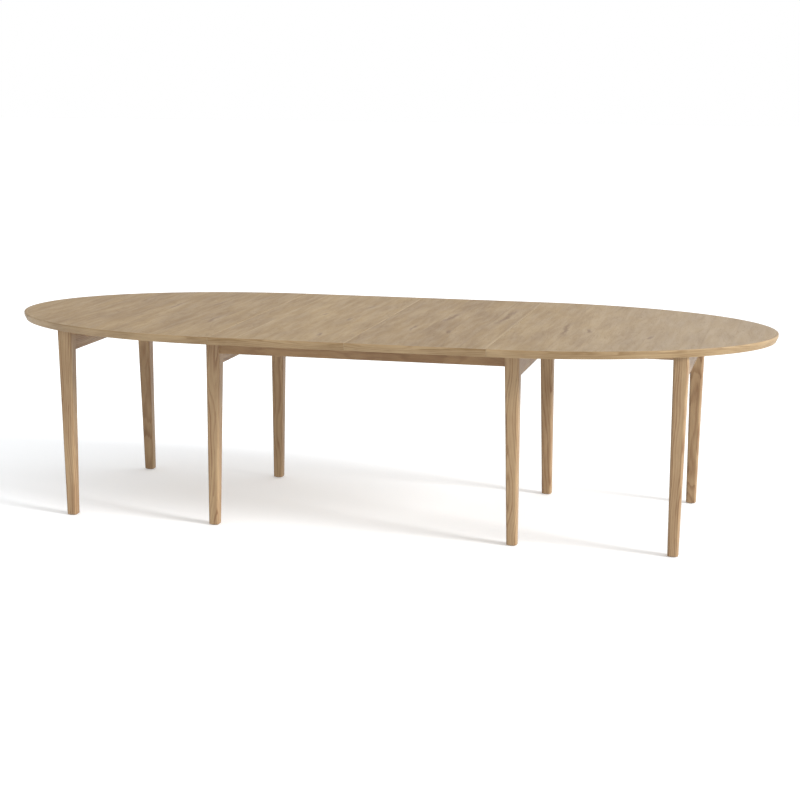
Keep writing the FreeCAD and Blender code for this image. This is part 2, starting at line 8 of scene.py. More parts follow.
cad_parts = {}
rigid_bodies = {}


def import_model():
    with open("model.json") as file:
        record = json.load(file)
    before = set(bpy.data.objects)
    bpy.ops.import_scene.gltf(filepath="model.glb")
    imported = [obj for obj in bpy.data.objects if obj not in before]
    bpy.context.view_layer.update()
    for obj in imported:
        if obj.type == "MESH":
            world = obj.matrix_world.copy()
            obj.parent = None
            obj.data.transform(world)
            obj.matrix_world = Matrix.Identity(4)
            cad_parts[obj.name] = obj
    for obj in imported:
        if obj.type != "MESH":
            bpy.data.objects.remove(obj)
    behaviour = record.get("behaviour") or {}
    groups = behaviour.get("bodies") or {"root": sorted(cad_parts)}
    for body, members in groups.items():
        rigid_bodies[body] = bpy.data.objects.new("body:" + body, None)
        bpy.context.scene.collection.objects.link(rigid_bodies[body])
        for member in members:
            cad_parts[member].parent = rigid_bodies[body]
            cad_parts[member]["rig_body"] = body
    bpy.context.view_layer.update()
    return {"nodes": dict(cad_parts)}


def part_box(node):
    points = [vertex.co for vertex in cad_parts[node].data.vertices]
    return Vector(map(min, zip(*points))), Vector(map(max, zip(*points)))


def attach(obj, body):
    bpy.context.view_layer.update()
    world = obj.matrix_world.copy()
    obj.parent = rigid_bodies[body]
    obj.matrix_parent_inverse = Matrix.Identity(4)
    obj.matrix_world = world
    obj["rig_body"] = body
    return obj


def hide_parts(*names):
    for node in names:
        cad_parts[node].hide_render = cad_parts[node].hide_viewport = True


# An extendable dining table in pale oiled oak, open, with both leaves in.  Everything is in
# metres, with the floor at z = 0, the long side along X and the front towards -Y.

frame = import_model()
cad_nodes = frame["nodes"]

LEFT = -1
RIGHT = 1
FRONT = -1
BACK = 1
SIDES = {"left": LEFT, "right": RIGHT}
FACES = {"front": FRONT, "back": BACK}

# Table top
SEAM_X = 0.5
SEAM_DRAW = 0.0003
LIPPING = 0.012
RIM_TUCK = 0.008
RIM_BEVEL_RISE = 0.017
RIM_ROUNDING = 0.0025
RIM_ROUNDING_STEPS = 4
RIM_LEVEL_FROM = RIM_ROUNDING * 1.3  # where the level strip inside the rounding starts
RIM_POINTS = 384
RIM_BEARINGS = 256
SEAM_ARRIS = 0.0007
SOCKET_RADIUS = 0.0044
SOCKET_DEPTH = 0.012
DOWEL_Y = (-0.52, -0.18, 0.18, 0.52)

# Legs and rails
FOOT_WIDTH = 0.038
LEG_CORNER = 0.009
LEG_CORNER_STEPS = 7
LEG_ARRIS = 0.0012
LEG_ARRIS_STEPS = 3
RAIL_ARRIS = 0.0015
RAIL_THICKNESS = 0.042
SIDE_RAIL_THICKNESS = 0.022
LET_IN = 0.004
NOTCH_PLAY = 0.0005
SCREW_BORE_RADIUS = 0.005
SCREW_BORE_DEPTH = 0.0195
END_SCREW_Y = (-0.3, 0.0, 0.3)
GUIDE_WIDTH = 0.022
CLEAR = 0.002

# Taken from the design
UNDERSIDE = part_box("left_leaf")[0].z
TOP_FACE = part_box("left_leaf")[1].z
HALF_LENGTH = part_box("right_end_lipping")[1].x
HALF_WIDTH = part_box("left_leaf_back_lipping")[1].y
LEG_INNER_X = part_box("back_right_inner_leg")[0].x
LEG_INNER_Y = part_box("back_left_inner_leg")[0].y

# Ways of working
ARRIS_STEPS = 2
SHARP_ANGLE = 40
SMOOTH_ANGLE = 35
ALIGNED = 0.9  # how squarely a face looks, or an edge runs, along an axis to be picked
LEVEL = 0.99
BORE_SIDES = 24


# ---------------------------------------------------------------- shaping by hand


def deselect():
    bpy.ops.object.select_all(action="DESELECT")


def settle(name):
    """Name the piece just added and put its place and size into its mesh."""
    piece = bpy.context.object
    piece.name = name
    piece.data.name = name
    bpy.ops.object.transform_apply(location=True, rotation=True, scale=True)
    return piece


def block(name, low, high):
    """A block between two corners, ready to be shaped."""
    low, high = Vector(low), Vector(high)
    deselect()
    bpy.ops.mesh.primitive_cube_add(size=1, location=(low + high) / 2, scale=high - low)
    return settle(name)


def take_up(piece):
    """Make one piece the one being worked on."""
    deselect()
    piece.select_set(True)
    bpy.context.view_layer.objects.active = piece


def open_piece():
    bpy.ops.object.mode_set(mode="EDIT")


def close_piece():
    bpy.ops.object.mode_set(mode="OBJECT")


def middle_and_way(item):
    """The middle of a face or an edge, and the way it looks or runs."""
    if isinstance(item, bmesh.types.BMFace):
        return item.calc_center_median(), item.normal
    first, second = (vertex.co for vertex in item.verts)
    return (first + second) / 2, (second - first).normalized()


def pick(kind, test):
    """Select the faces or edges of the open piece whose middle and way pass a test."""
    bpy.ops.mesh.select_mode(type=kind)
    bpy.ops.mesh.select_all(action="DESELECT")
    mesh = bmesh.from_edit_mesh(bpy.context.object.data)
    for item in mesh.faces if kind == "FACE" else mesh.edges:
        if test(*middle_and_way(item)):
            item.select_set(True)
    mesh.select_flush_mode()
    bmesh.update_edit_mesh(bpy.context.object.data)


def pick_all():
    bpy.ops.mesh.select_all(action="SELECT")


def saw(point, normal):
    """Cut the whole open piece along a plane, keeping both sides."""
    pick_all()
    bpy.ops.mesh.bisect(plane_co=point, plane_no=normal)


def trim(point, normal):
    """Cut off what lies behind a plane and close the cut."""
    pick_all()
    bpy.ops.mesh.bisect(plane_co=point, plane_no=normal, use_fill=True, clear_inner=True)


def draw_up(height):
    """Pull what is picked straight up, leaving new sides behind it."""
    bpy.ops.mesh.extrude_region_move(TRANSFORM_OT_translate={"value": (0, 0, height)})


def turn_outwards():
    pick_all()
    bpy.ops.mesh.normals_make_consistent(inside=False)


def smooth_off(piece):
    """Shade the roundings smoothly and leave the broad faces flat."""
    take_up(piece)
    bpy.ops.object.shade_smooth_by_angle(angle=math.radians(SMOOTH_ANGLE))
    flat = piece.modifiers.new("flat faces", "WEIGHTED_NORMAL")
    flat.weight = 100
    flat.keep_sharp = True
    bpy.ops.object.modifier_apply(modifier=flat.name)


def ease_arrises(piece, width, steps=ARRIS_STEPS):
    """Round over every sharp edge and smooth the piece off."""
    bevel = piece.modifiers.new("arris", "BEVEL")
    bevel.width = width
    bevel.segments = steps
    bevel.limit_method = "ANGLE"
    bevel.angle_limit = math.radians(SHARP_ANGLE)
    bpy.ops.object.modifier_apply(modifier=bevel.name)
    smooth_off(piece)


def bore(piece, start, end, radius):
    """Drill a round hole from one point to another."""
    start, end = Vector(start), Vector(end)
    deselect()
    bpy.ops.mesh.primitive_cylinder_add(
        vertices=BORE_SIDES,
        radius=radius,
        depth=(end - start).length,
        location=(start + end) / 2,
        rotation=(end - start).to_track_quat("Z", "Y").to_euler(),
    )
    bit = settle("bit")
    take_up(piece)
    hole = piece.modifiers.new("bore", "BOOLEAN")
    hole.operation = "DIFFERENCE"
    hole.object = bit
    bpy.ops.object.modifier_apply(modifier=hole.name)
    bpy.data.objects.remove(bit)


def hand_over(piece, nodes, slot, *materials):
    """Give a finished piece its materials and let it stand for its CAD nodes, on their body."""
    piece.data.materials.clear()
    for material in materials:
        piece.data.materials.append(material)
    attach(piece, cad_nodes[nodes[0]]["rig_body"])
    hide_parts(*nodes)


def note_grain(piece, heart, along, offset):
    """Note where each point lies in its board: two ways across, measured from the heart of the
    tree, and then along the grain."""
    across = [axis for axis in range(3) if axis != along]
    notes = piece.data.attributes.new("grain", "FLOAT_VECTOR", "POINT")
    for vertex, note in zip(piece.data.vertices, notes.data):
        note.vector = (
            vertex.co[across[0]] - heart[0],
            vertex.co[across[1]] - heart[1],
            vertex.co[along] + offset,
        )


# ---------------------------------------------------------------- node trees


class Bench:
    """Lays out the nodes of one tree and joins them."""

    def __init__(self, tree):
        self.tree = tree

    def place(self, kind, **settings):
        node = self.tree.nodes.new(kind)
        for key, value in settings.items():
            setattr(node, key, value)
        return node

    def feed(self, socket, source):
        """Join a socket to another, or set it to a plain value."""
        if isinstance(source, bpy.types.NodeSocket):
            self.tree.links.new(source, socket)
        elif source is not None:
            socket.default_value = source

    def maths(self, operation, *values, clamp=False):
        node = self.place("ShaderNodeMath", operation=operation, use_clamp=clamp)
        for socket, value in zip(node.inputs, values):
            self.feed(socket, value)
        return node.outputs[0]

    def vector_maths(self, operation, *values):
        node = self.place("ShaderNodeVectorMath", operation=operation)
        for socket, value in zip(node.inputs, values):
            self.feed(socket, value)
        result = "Value" if operation in ("LENGTH", "DOT_PRODUCT") else "Vector"
        return node.outputs[result]

    def noise(self, vector, scale, detail=2.0, roughness=0.5, result="Fac"):
        node = self.place("ShaderNodeTexNoise")
        self.feed(node.inputs["Vector"], vector)
        node.inputs["Scale"].default_value = scale
        node.inputs["Detail"].default_value = detail
        node.inputs["Roughness"].default_value = roughness
        return node.outputs[result]

    def spread(self, value, low, high, to_low=0.0, to_high=1.0, smooth=True):
        """Turn one range of values into another, held at its ends."""
        node = self.place("ShaderNodeMapRange")
        node.interpolation_type = "SMOOTHSTEP" if smooth else "LINEAR"
        for name, number in (
            ("Value", value),
            ("From Min", low),
            ("From Max", high),
            ("To Min", to_low),
            ("To Max", to_high),
        ):
            self.feed(node.inputs[name], number)
        return node.outputs["Result"]

    def either_way(self, noise, reach):
        """Turn a noise into values spread evenly to both sides of zero."""
        return self.spread(noise, 0.25, 0.75, -reach, reach, smooth=False)

    def plus(self, *values):
        total = values[0]
        for value in values[1:]:
            total = self.maths("ADD", total, value)
        return total

    def times(self, value, factor):
        return self.maths("MULTIPLY", value, factor)

    def most(self, values):
        """The greatest of several masks."""
        greatest = values[0]
        for value in values[1:]:
            greatest = self.maths("MAXIMUM", greatest, value)
        return greatest

    def tint(self, amount, under, over):
        """Lay one colour over another.  The node's colour sockets share their names with others,
        so they go by number."""
        node = self.place("ShaderNodeMix", data_type="RGBA")
        self.feed(node.inputs["Factor"], amount)
        self.feed(node.inputs[6], under)
        self.feed(node.inputs[7], over)
        return node.outputs[2]

    def split(self, vector):
        node = self.place("ShaderNodeSeparateXYZ")
        self.feed(node.inputs[0], vector)
        return node.outputs

    def gather(self, x, y, z):
        node = self.place("ShaderNodeCombineXYZ")
        for socket, value in zip(node.inputs, (x, y, z)):
            self.feed(socket, value)
        return node.outputs[0]

    def use(self, group, **values):
        """Place a node group and feed its named inputs."""
        node = self.place("ShaderNodeGroup", node_tree=group)
        for name, value in values.items():
            self.feed(node.inputs[name.replace("_", " ")], value)
        return node.outputs


def new_group(name, inputs, outputs):
    """An empty shader group with named sockets."""
    tree = bpy.data.node_groups.new(name, "ShaderNodeTree")
    kinds = {"value": "NodeSocketFloat", "vector": "NodeSocketVector"}
    for socket, kind in inputs.items():
        tree.interface.new_socket(socket, in_out="INPUT", socket_type=kinds[kind])
    for socket, kind in outputs.items():
        tree.interface.new_socket(socket, in_out="OUTPUT", socket_type=kinds[kind])
    bench = Bench(tree)
    start = bench.place("NodeGroupInput").outputs
    end = bench.place("NodeGroupOutput").inputs
    return tree, bench, start, end


# Where a place is multiplied by three numbers, they are how closely its pattern repeats: two ways
# across the grain and then along it, in a board, or along X, Y and Z on the table.

SWAY_ACROSS = 1.6
SWAY_REPEAT = 2.6
RING_RAGGEDNESS = 1.1
EARLY_WOOD_END = 0.55
LATE_WOOD_START = 0.84
LATE_WOOD_HALF = 0.08  # half way through it, one ring's strength gives way to the next's
FAINTEST_RING = 0.2


def growth_rings():
    """Rings round a wandering heart, darker in the open-pored early wood of each year."""
    tree, bench, start, end = new_group(
        "growth rings",
        {"Grain": "vector", "Ring Width": "value", "Wander": "value"},
        {"Rings": "value"},
    )
    x, y, z = bench.split(start["Grain"])
    slow_place = bench.gather(bench.times(x, SWAY_ACROSS), bench.times(y, SWAY_ACROSS), z)
    slow = bench.noise(slow_place, SWAY_REPEAT, 1.0, 0.4, "Color")
    push = bench.vector_maths("SUBTRACT", slow, (0.5, 0.5, 0.5))
    push = bench.vector_maths("MULTIPLY", push, bench.gather(start["Wander"], start["Wander"], 0))
    centre = bench.vector_maths("ADD", bench.gather(x, y, 0.0), push)
    radius = bench.vector_maths("LENGTH", centre)
    fine_place = bench.vector_maths("MULTIPLY", start["Grain"], (70.0, 70.0, 7.0))
    fine = bench.noise(fine_place, 1.0, 2.0, 0.6)
    ragged = bench.times(bench.maths("SUBTRACT", fine, 0.5), RING_RAGGEDNESS)
    year = bench.plus(bench.maths("DIVIDE", radius, start["Ring Width"]), ragged)
    part = bench.maths("FRACT", year)
    early = bench.maths("SUBTRACT", 1.0, bench.spread(part, 0.0, EARLY_WOOD_END))
    late = bench.spread(part, LATE_WOOD_START, 1.0)
    band = bench.maths("MAXIMUM", early, late)
    chance = bench.place("ShaderNodeTexWhiteNoise", noise_dimensions="1D")
    bench.feed(chance.inputs["W"], bench.maths("FLOOR", bench.plus(year, LATE_WOOD_HALF)))
    strength = bench.spread(chance.outputs["Value"], 0.0, 1.0, FAINTEST_RING, 1.0, smooth=False)
    bench.feed(end["Rings"], bench.times(band, strength))
    return tree


# Fades run from where a mark is gone to where it is full, in half widths and half lengths.
MARK_BEND = 0.07
MARK_RAGGEDNESS = 0.7
HEART_FADE = (1.25, 0.1)
HALO_FADE = (4.2, 0.8)
END_FADE = (1.0, 0.2)


def figure_mark():
    """One knot or check in a top: a dark ragged heart and a paler halo, drawn out along Y."""
    tree, bench, start, end = new_group(
        "figure mark",
        {"Place": "vector", "Centre": "vector", "Half Width": "value", "Half Length": "value"},
        {"Heart": "value", "Halo": "value"},
    )
    away = bench.split(bench.vector_maths("SUBTRACT", start["Place"], start["Centre"]))
    wave_place = bench.vector_maths("MULTIPLY", start["Place"], (3.0, 5.0, 3.0))
    wave = bench.maths("SUBTRACT", bench.noise(wave_place, 1.0, 2.0, 0.5), 0.5)
    bent = bench.plus(away["X"], bench.times(wave, MARK_BEND))
    across = bench.maths("DIVIDE", bent, start["Half Width"])
    along = bench.maths("DIVIDE", away["Y"], start["Half Length"])
    drawn_place = bench.vector_maths("MULTIPLY", start["Place"], (110.0, 22.0, 60.0))
    ragged = bench.either_way(bench.noise(drawn_place, 1.0, 3.0, 0.65), MARK_RAGGEDNESS)
    across = bench.plus(bench.maths("ABSOLUTE", across), ragged)
    taper = bench.spread(bench.maths("ABSOLUTE", along), *END_FADE)
    bench.feed(end["Heart"], bench.times(bench.spread(across, *HEART_FADE), taper))
    bench.feed(end["Halo"], bench.times(bench.spread(across, *HALO_FADE), taper))
    return tree


FIBRE_SWAY = (0.045, 0.045, 0.0)
PORE_SHOWS = (0.56, 0.72)
FLECK_SHOWS = (0.66, 0.8)


def wood_fibre():
    """Short open pores, paler ray flecks and slow streaks and clouds of tone, all drawn out along
    the grain."""
    tree, bench, start, end = new_group(
        "wood fibre",
        {"Grain": "vector", "Rings": "value"},
        {"Pores": "value", "Flecks": "value", "Streaks": "value", "Cloud": "value"},
    )
    sway_place = bench.vector_maths("MULTIPLY", start["Grain"], (7.0, 7.0, 3.4))
    sway = bench.noise(sway_place, 1.0, 2.0, 0.5, "Color")
    sway = bench.vector_maths("SUBTRACT", sway, (0.5, 0.5, 0.5))
    sway = bench.vector_maths("MULTIPLY", sway, FIBRE_SWAY)
    grain = bench.vector_maths("ADD", start["Grain"], sway)
    pore_place = bench.vector_maths("MULTIPLY", grain, (520.0, 520.0, 22.0))
    pores = bench.spread(bench.noise(pore_place, 1.0, 1.0, 0.5), *PORE_SHOWS)
    early = bench.spread(start["Rings"], 0.05, 0.7, 0.5, 1.0)
    bench.feed(end["Pores"], bench.times(pores, early))
    fleck_place = bench.vector_maths("MULTIPLY", grain, (60.0, 160.0, 34.0))
    flecks = bench.spread(bench.noise(fleck_place, 1.0, 1.0, 0.4), *FLECK_SHOWS)
    bench.feed(end["Flecks"], flecks)
    streak_place = bench.vector_maths("MULTIPLY", grain, (42.0, 42.0, 4.2))
    bench.feed(end["Streaks"], bench.noise(streak_place, 1.0, 3.0, 0.55))
    cloud_place = bench.vector_maths("MULTIPLY", grain, (12.0, 12.0, 3.2))
    bench.feed(end["Cloud"], bench.noise(cloud_place, 1.0, 3.0, 0.6))
    return tree


STAVE_HEART_SHIFT = 0.05
STAVE_HEART_DEPTH = (0.02, 0.12)
STAVE_LEVEL = 0.72  # the height the depths of the hearts are measured from
STAVE_GRAIN_REACH = 23.0


def glued_staves():
    """Split the top into staves side by side, each cut from another tree."""
    tree, bench, start, end = new_group(
        "glued staves",
        {"Place": "vector", "Stave Width": "value"},
        {"Grain": "vector", "Stave": "value"},
    )
    x, y, z = bench.split(start["Place"])
    step = bench.maths("DIVIDE", x, start["Stave Width"])
    number = bench.maths("FLOOR", step)
    chance = bench.place("ShaderNodeTexWhiteNoise", noise_dimensions="1D")
    bench.feed(chance.inputs["W"], number)
    part = bench.maths("SUBTRACT", bench.maths("FRACT", step), 0.5)
    from_middle = bench.times(part, start["Stave Width"])
    red, green, blue = bench.split(chance.outputs["Color"])
    shift = bench.spread(red, 0.0, 1.0, -STAVE_HEART_SHIFT, STAVE_HEART_SHIFT, smooth=False)
    depth = bench.spread(green, 0.0, 1.0, *STAVE_HEART_DEPTH, smooth=False)
    along = bench.plus(y, bench.times(blue, STAVE_GRAIN_REACH))
    across = bench.plus(from_middle, shift)
    under = bench.plus(z, bench.maths("SUBTRACT", depth, STAVE_LEVEL))
    bench.feed(end["Grain"], bench.gather(across, under, along))
    bench.feed(end["Stave"], chance.outputs["Value"])
    return tree


EDGE_SHOWS = (0.995, 0.86)  # how closely a rounded-over normal agrees with the plain one


def eased_edges():
    """Where edges are rounded over, and so more rubbed and handled than the faces."""
    tree, bench, start, end = new_group(
        "eased edges", {"Reach": "value", "Place": "vector"}, {"Edge": "value"}
    )
    bevel = bench.place("ShaderNodeBevel", samples=6)
    bench.feed(bevel.inputs["Radius"], start["Reach"])
    plain = bench.place("ShaderNodeNewGeometry").outputs["Normal"]
    match = bench.vector_maths("DOT_PRODUCT", bevel.outputs["Normal"], plain)
    edge = bench.spread(match, *EDGE_SHOWS)
    patchy = bench.spread(bench.noise(start["Place"], 22.0, 3.0, 0.6), 0.3, 0.65, 0.45, 1.0)
    bench.feed(end["Edge"], bench.times(edge, patchy))
    return tree


GROUPS = {
    "rings": growth_rings(),
    "fibre": wood_fibre(),
    "staves": glued_staves(),
    "edges": eased_edges(),
    "mark": figure_mark(),
}


# ---------------------------------------------------------------- materials


def new_material(name):
    """A material with one plain shader, and the bench it is made on."""
    material = bpy.data.materials.new(name)
    material.use_nodes = True
    material.node_tree.nodes.clear()
    bench = Bench(material.node_tree)
    shader = bench.place("ShaderNodeBsdfPrincipled")
    output = bench.place("ShaderNodeOutputMaterial")
    material.node_tree.links.new(shader.outputs[0], output.inputs[0])
    return material, bench, shader


def object_place(bench):
    return bench.place("ShaderNodeTexCoord").outputs["Object"]


def add_relief(bench, shader, height, strength, distance):
    """Let a varying height raise and sink the surface a little."""
    bump = bench.place("ShaderNodeBump")
    bump.inputs["Strength"].default_value = strength
    bump.inputs["Distance"].default_value = distance
    bench.feed(bump.inputs["Height"], height)
    bench.feed(shader.inputs["Normal"], bump.outputs[0])


# How much the fine parts of a wood change its colour, its sheen and its surface.
FLECK_TINT = 0.22
STREAK_ROUGHNESS = 0.05
PORE_ROUGHNESS = 0.12
RUBBED_SMOOTHNESS = 0.06
RING_HOLLOW = 0.35
PORE_HOLLOW = 0.8
GRAIN_RELIEF = 0.35
GRAIN_RELIEF_DEPTH = 0.0003


def finish_wood(bench, shader, grain, wood, tone_shift=None, marks=None, painted_reflection=None):
    """Colour, sheen and relief of one wood, from where each point lies in its board.  A top also
    has shifts of tone, pale and dark marks, and a painted reflection: a paler, greyer cast that
    grows towards its right end."""
    rings = bench.use(
        GROUPS["rings"], Grain=grain, Ring_Width=wood["ring"], Wander=wood["wander"]
    )["Rings"]
    pores, flecks, streaks, cloud = bench.use(GROUPS["fibre"], Grain=grain, Rings=rings)
    edge = bench.use(GROUPS["edges"], Reach=wood["rubbed"], Place=object_place(bench))["Edge"]
    depth = bench.plus(
        bench.times(rings, wood["figure"]),
        bench.either_way(streaks, wood["streaks"]),
        bench.either_way(cloud, wood["cloud"]),
        wood["depth"],
    )
    if tone_shift is not None:
        depth = bench.plus(depth, tone_shift)
    depth = bench.maths("MAXIMUM", depth, 0.0, clamp=True)
    colour = bench.tint(depth, wood["pale"], wood["deep"])
    # Painted reflection: the top is tinted paler and greyer towards its right end, where the
    # brighter surroundings would be reflected.
    if painted_reflection is not None:
        colour = bench.tint(painted_reflection, colour, wood["painted_reflection"])
    colour = bench.tint(bench.times(flecks, FLECK_TINT), colour, wood["fleck"])
    colour = bench.tint(bench.times(pores, wood["pores"]), colour, wood["pore"])
    if marks is not None:
        pale, dark = marks
        colour = bench.tint(pale, colour, wood["worn"])
        colour = bench.tint(dark, colour, wood["stain"])
    colour = bench.tint(bench.times(edge, wood["wear"]), colour, wood["worn"])
    bench.feed(shader.inputs["Base Color"], colour)
    smoothest, roughest = wood["rough"] - STREAK_ROUGHNESS, wood["rough"] + STREAK_ROUGHNESS
    rough = bench.plus(
        bench.spread(streaks, 0.3, 0.7, smoothest, roughest),
        bench.times(pores, PORE_ROUGHNESS),
        bench.times(edge, -RUBBED_SMOOTHNESS),
    )
    bench.feed(shader.inputs["Roughness"], rough)
    relief = bench.plus(
        bench.times(rings, -RING_HOLLOW), bench.times(pores, -PORE_HOLLOW), streaks
    )
    add_relief(bench, shader, relief, GRAIN_RELIEF, GRAIN_RELIEF_DEPTH)


# For each wood: how wide its rings are and how far they wander, how strongly rings, streaks and
# clouds darken it and how dark it is without them, how much its pores show, how far in from an
# edge it is rubbed and how pale that leaves it, how rough it is, and its colours.
OAK = {
    "ring": 0.0042,
    "wander": 0.05,
    "figure": 0.18,
    "streaks": 0.11,
    "cloud": 0.36,
    "depth": 0.37,
    "pores": 0.35,
    "rubbed": 0.003,
    "wear": 0.45,
    "rough": 0.5,
    "pale": (0.335, 0.226, 0.101, 1),
    "deep": (0.190, 0.111, 0.040, 1),
    "fleck": (0.39, 0.28, 0.16, 1),
    "pore": (0.13, 0.075, 0.036, 1),
    "worn": (0.47, 0.36, 0.22, 1),
    "stain": (0.150, 0.078, 0.026, 1),
    # the paler, greyer colour of the painted reflection on the right end of the top
    "painted_reflection": (0.36, 0.29, 0.22, 1),
}
OAK_FRAME = dict(
    OAK,
    pale=(0.374, 0.252, 0.132, 1),
    deep=(0.205, 0.108, 0.045, 1),
    streaks=0.17,
    ring=0.0075,
    wander=0.08,
    figure=0.75,
    cloud=0.42,
    depth=0.25,
    wear=0.3,
)
# The long side rails sit back under the top, and their oak is made darker as painted shade for
# the shadow the top casts on them.
OAK_SHADED_RAIL = dict(OAK_FRAME, depth=0.45, figure=0.4, pale=(0.350, 0.220, 0.100, 1))
OAK_RIM = dict(
    OAK, pale=(0.345, 0.236, 0.120, 1), ring=0.006, figure=0.6, cloud=0.62, depth=0.24
)
BEECH = dict(
    OAK,
    ring=0.003,
    figure=0.16,
    streaks=0.14,
    cloud=0.12,
    pores=0.12,
    pale=(0.52, 0.36, 0.22, 1),
    deep=(0.36, 0.21, 0.11, 1),
    fleck=(0.44, 0.27, 0.15, 1),
)
PINE = dict(
    OAK,
    ring=0.006,
    figure=0.5,
    streaks=0.12,
    pores=0.0,
    pale=(0.62, 0.46, 0.27, 1),
    deep=(0.42, 0.24, 0.10, 1),
    fleck=(0.66, 0.5, 0.3, 1),
)

# What shows on the top beside its grain.  Changes of tone start at a place along X and carry on
# to the right; lines run right across; the last list gives knots and checks, each with the
# middle along X and Y, half the width and half the length.
STAVE_WIDTH = 0.1
STAVE_TONES = (0.02, 0.16)
TONE_CHANGES = ((-0.5, -0.08), (0.0, 0.11), (0.5, -0.20))
PALE_LINES = ((-0.5, 0.25), (-0.4, 0.35), (0.0, 0.35), (0.495, 0.3), (1.0, 0.12))
DARK_LINES = ((0.007, 0.2), (0.4, 0.3), (0.485, 0.3), (0.7, 0.25), (1.2, 0.2), (-0.9, 0.15))
LINE_FULL = 0.0015
LINE_FADED = 0.0055
HEART_TINT = 0.85
HALO_TINT = 0.18
# A painted reflection: between these two places along X the top turns paler and greyer, up to
# this much, standing in for the brighter sheen at its right end.
REFLECTION_FROM_X = 0.45
REFLECTION_FULL_X = 1.3
PAINTED_REFLECTION_TINT = 0.32
FIGURE_MARKS = (
    (-0.255, 0.05, 0.008, 0.03),
    (0.235, 0.08, 0.014, 0.18),
    (0.425, 0.16, 0.013, 0.28),
    (0.30, -0.26, 0.012, 0.07),
    (0.15, -0.20, 0.008, 0.10),
    (-0.15, -0.43, 0.010, 0.05),
    (-0.125, -0.06, 0.009, 0.05),
    (-0.135, 0.28, 0.008, 0.06),
    (0.695, -0.10, 0.011, 0.22),
    (0.775, -0.11, 0.010, 0.06),
    (1.01, -0.21, 0.010, 0.05),
    (-0.90, 0.12, 0.008, 0.12),
    (-0.62, -0.18, 0.010, 0.14),
    (-0.75, 0.22, 0.008, 0.10),
)


def lines_across(bench, x, lines, broken):
    """Thin lines right across the table, each of its own strength, interrupted here and there."""
    drawn = []
    for line_x, strength in lines:
        gap = bench.maths("ABSOLUTE", bench.maths("SUBTRACT", x, line_x))
        drawn.append(bench.times(bench.spread(gap, LINE_FADED, LINE_FULL), strength))
    return bench.times(bench.most(drawn), broken)


def stave_oak():
    """The top: oak staves glued side by side, their grain running across the table."""
    material, bench, shader = new_material("oak staves")
    place = object_place(bench)
    x = bench.split(place)["X"]
    grain, stave = bench.use(GROUPS["staves"], Place=place, Stave_Width=STAVE_WIDTH)
    tone_changes = [
        bench.times(bench.maths("GREATER_THAN", x, from_x), change)
        for from_x, change in TONE_CHANGES
    ]
    tone_shift = bench.plus(
        bench.spread(stave, 0.0, 1.0, *STAVE_TONES, smooth=False), *tone_changes
    )
    broken = bench.spread(bench.noise(place, 7.0, 3.0, 0.6), 0.35, 0.6, 0.35, 1.0)
    marks = [
        bench.use(
            GROUPS["mark"],
            Place=place,
            Centre=(centre_x, centre_y, TOP_FACE),
            Half_Width=half_width,
            Half_Length=half_length,
        )
        for centre_x, centre_y, half_width, half_length in FIGURE_MARKS
    ]
    halos = bench.times(bench.most([mark["Halo"] for mark in marks]), HALO_TINT)
    hearts = bench.times(bench.most([mark["Heart"] for mark in marks]), HEART_TINT)
    pale = bench.most([lines_across(bench, x, PALE_LINES, broken), halos])
    dark = bench.most([lines_across(bench, x, DARK_LINES, broken), hearts])
    # Painted reflection, growing towards the right end of the top.
    painted_reflection = bench.spread(x, REFLECTION_FROM_X, REFLECTION_FULL_X, 0.0, PAINTED_REFLECTION_TINT)
    finish_wood(bench, shader, grain, OAK, tone_shift, (pale, dark), painted_reflection)
    return material


def noted_oak(name, wood):
    """Solid oak whose grain follows what was noted on the piece."""
    material, bench, shader = new_material(name)
    grain = bench.place("ShaderNodeAttribute", attribute_name="grain").outputs["Vector"]
    finish_wood(bench, shader, grain, wood)
    return material


TIMBER_HEART = (0.03, 0.05, 0.0)


def plain_timber(name, wood, turn):
    """Plain-sawn timber for the hidden pieces, turned so that its grain runs along one axis."""
    material, bench, shader = new_material(name)
    turning = bench.place("ShaderNodeMapping")
    bench.feed(turning.inputs["Vector"], object_place(bench))
    turning.inputs["Rotation"].default_value = [math.radians(angle) for angle in turn]
    grain = bench.vector_maths("ADD", turning.outputs[0], TIMBER_HEART)
    finish_wood(bench, shader, grain, wood)
    return material


ZINC_DULL = (0.42, 0.43, 0.45, 1)
ZINC_BRIGHT = (0.60, 0.61, 0.62, 1)
ZINC_RUBBED = (0.75, 0.76, 0.78, 1)
NYLON_DARK = (0.30, 0.27, 0.23, 1)
NYLON_PALE = (0.42, 0.38, 0.33, 1)


def plated_steel():
    """Bright zinc plating with a faint brushing and darker, duller patches."""
    material, bench, shader = new_material("plated steel")
    place = object_place(bench)
    brushed = bench.noise(bench.vector_maths("MULTIPLY", place, (60.0, 1400.0, 900.0)), 1.0, 3.0)
    patch = bench.noise(place, 70.0, 4.0, 0.6)
    edge = bench.use(GROUPS["edges"], Reach=0.0006, Place=place)["Edge"]
    colour = bench.tint(patch, ZINC_DULL, ZINC_BRIGHT)
    colour = bench.tint(bench.times(edge, 0.5), colour, ZINC_RUBBED)
    bench.feed(shader.inputs["Base Color"], colour)
    shader.inputs["Metallic"].default_value = 1.0
    rough = bench.plus(bench.spread(patch, 0.3, 0.7, 0.26, 0.42), bench.times(brushed, 0.08))
    bench.feed(shader.inputs["Roughness"], rough)
    add_relief(bench, shader, brushed, 0.2, 0.00005)
    return material


def glide_nylon():
    """Grey nylon, a little scuffed."""
    material, bench, shader = new_material("glide nylon")
    place = object_place(bench)
    scuff = bench.noise(place, 240.0, 4.0, 0.7)
    colour = bench.tint(scuff, NYLON_DARK, NYLON_PALE)
    bench.feed(shader.inputs["Base Color"], colour)
    bench.feed(shader.inputs["Roughness"], bench.spread(scuff, 0.3, 0.7, 0.4, 0.6))
    add_relief(bench, shader, scuff, 0.3, 0.0001)
    return material


